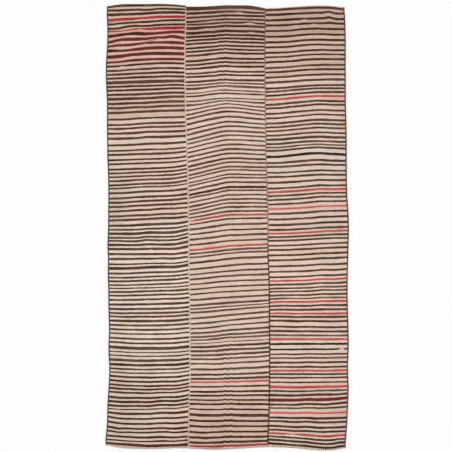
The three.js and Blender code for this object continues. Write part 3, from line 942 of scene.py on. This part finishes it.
def overcast_cord(side, seed):
    """The thick edge of one side: a cord under slanted wraps of dark yarn, flat where it lies."""
    node = f"binding_{side}"
    low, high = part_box(node)
    thickness = high[2] - low[2]
    outline = Outline(node, thickness / 2)
    far, near = outline.end(0.5, 1), outline.end(0.5, -1)
    body = np.linspace(far - CORD_BODY, near + CORD_BODY, CORD_RINGS)
    y = np.concatenate([far - CORD_TIPS, body, near + CORD_TIPS[::-1]])
    full = np.maximum(rounded(np.minimum(far - y, y - near), thickness), LEAST_TIP)
    angle = np.radians(np.arange(CORD_SIDES) * 360 / CORD_SIDES)
    turns = y[:, None] / WRAP_PITCH + angle / (2 * np.pi)
    bulge = 1 - WRAP_DEPTH * (1 - np.abs(np.sin(np.pi * turns))) ** 1.5
    bulge *= full[:, None]
    half = (outline.across(y, 1) - outline.across(y, 0)) / 2
    x = outline.across(y, 0.5)[:, None] + half[:, None] * np.cos(angle) * bulge
    z = np.maximum(thickness / 2 * (1 + np.sin(angle) * bulge), CORD_FLAT)
    points = np.stack([x, np.broadcast_to(y[:, None], x.shape), z], axis=-1)

    corner = np.arange(len(y) * CORD_SIDES).reshape(len(y), CORD_SIDES)
    after = np.roll(corner, -1, axis=1)
    around = np.stack([corner[1:], after[1:], after[:-1], corner[:-1]], axis=-1).reshape(-1, 4)
    faces = [*around.tolist(), corner[0].tolist(), corner[-1, ::-1].tolist()]

    first, second = yarn_colours("b")
    wrap = np.floor(turns).astype(int)
    wrap -= wrap.min()
    tone = np.random.default_rng(seed).uniform(0, 1, wrap.max() + 1)[wrap][..., None]
    return node, points, faces, first + (second - first) * tone


class KILIM_OT_weave(bpy.types.Operator):
    """Weave the three striped panels on their outlines"""

    bl_idname = "kilim.weave_panels"
    bl_label = "Weave Panels"

    def execute(self, context):
        for seed, panel in enumerate(("left", "middle", "right")):
            piece, width, length = weave_panel(panel, seed + 11)
        return {"FINISHED"}


class KILIM_OT_sew(bpy.types.Operator):
    """Sew the panels together along their two joins"""

    bl_idname = "kilim.sew_joins"
    bl_label = "Sew Joins"

    def execute(self, context):
        sew("left_join_stitches", zigzag("left_join", 21), spun_wool("Pale sewing wool"))
        sew("right_join_stitches", zigzag("right_join", 22), spun_wool("Brown sewing wool"))
        return {"FINISHED"}


class KILIM_OT_bind(bpy.types.Operator):
    """Overcast the two outer edges"""

    bl_idname = "kilim.bind_edges"
    bl_label = "Bind Edges"

    def execute(self, context):
        for seed, side in enumerate(("left", "right")):
            node, points, faces, colours = overcast_cord(side, seed + 31)
            wool = spun_wool(f"Overcast wool, {side}")
            piece = add_piece(f"overcast_edge_{side}", points, faces, colours, wool)
            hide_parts(node)
        return {"FINISHED"}


class KILIM_OT_finish_ends(bpy.types.Operator):
    """Overcast the ends where they were mended"""

    bl_idname = "kilim.finish_ends"
    bl_label = "Stitch Ends"

    def execute(self, context):
        sew("end_stitches", end_stitches(41), spun_wool("End sewing wool"))
        return {"FINISHED"}


class KILIM_OT_stage(bpy.types.Operator):
    """Set up the floor, the lights and the camera"""

    bl_idname = "kilim.set_stage"
    bl_label = "Set Stage"

    def execute(self, context):
        bpy.ops.object.select_all(action="DESELECT")
        bpy.ops.mesh.primitive_plane_add(size=40, location=(0, 0, -FLOOR_DROP))
        floor = context.active_object
        floor.name = "floor"
        material, _, surface = start_material("Pale matte floor")
        surface.inputs["Base Color"].default_value = FLOOR_WHITE
        floor.data.materials.append(material)

        scene = context.scene
        scene.view_settings.view_transform = "Standard"
        world = bpy.data.worlds.new("Studio")
        world.use_nodes = True
        sky = world.node_tree.nodes["Background"].inputs
        sky["Color"].default_value = (1, 1, 1, 1)
        sky["Strength"].default_value = SKY_STRENGTH
        scene.world = world
        bpy.ops.object.light_add(type="SUN", location=SUN_PLACE)
        lamp = context.active_object
        lamp.data.energy = SUN_STRENGTH
        lamp.data.angle = SUN_SPREAD
        lamp.rotation_euler = (Vector((0, 0, 0)) - lamp.location).to_track_quat("-Z", "Y").to_euler()

        bpy.ops.object.camera_add(location=(0, 0, 1))
        camera = context.active_object
        camera.data.lens = 90
        distance = camera.data.lens / camera.data.sensor_width * PICTURE * UNIT
        camera.location = ((PICTURE / 2 - MIDDLE_ACROSS) * UNIT, float(along_rug(PICTURE / 2)), distance)
        camera.rotation_euler = (0, 0, 0)
        camera.data.clip_end = 100
        scene.camera = camera
        return {"FINISHED"}


class KILIM_PT_sidebar(bpy.types.Panel):
    """The kilim's steps, in order."""

    bl_idname = "KILIM_PT_sidebar"
    bl_label = "Striped Kilim"
    bl_space_type = "VIEW_3D"
    bl_region_type = "UI"
    bl_category = "Kilim"

    def draw(self, context):
        for group in (context.scene.kilim_yarns, context.scene.kilim_wear):
            for name in group.__annotations__:
                self.layout.prop(group, name)
        for step in STEPS:
            self.layout.operator(step.bl_idname)


STEPS = (KILIM_OT_weave, KILIM_OT_sew, KILIM_OT_bind, KILIM_OT_finish_ends, KILIM_OT_stage)
CLASSES = (KilimYarns, KilimWear, *STEPS, KILIM_PT_sidebar)


def register():
    """Adds the kilim's classes and settings to Blender."""
    for cls in CLASSES:
        bpy.utils.register_class(cls)
    bpy.types.Scene.kilim_yarns = bpy.props.PointerProperty(type=KilimYarns)
    bpy.types.Scene.kilim_wear = bpy.props.PointerProperty(type=KilimWear)


def unregister():
    """Takes them out again."""
    del bpy.types.Scene.kilim_wear
    del bpy.types.Scene.kilim_yarns
    for cls in reversed(CLASSES):
        bpy.utils.unregister_class(cls)


def main():
    """Makes the kilim and its studio."""
    register()
    bpy.ops.kilim.weave_panels()
    bpy.ops.kilim.sew_joins()
    bpy.ops.kilim.bind_edges()
    bpy.ops.kilim.finish_ends()
    bpy.ops.kilim.set_stage()


if __name__ == "__main__":
    main()
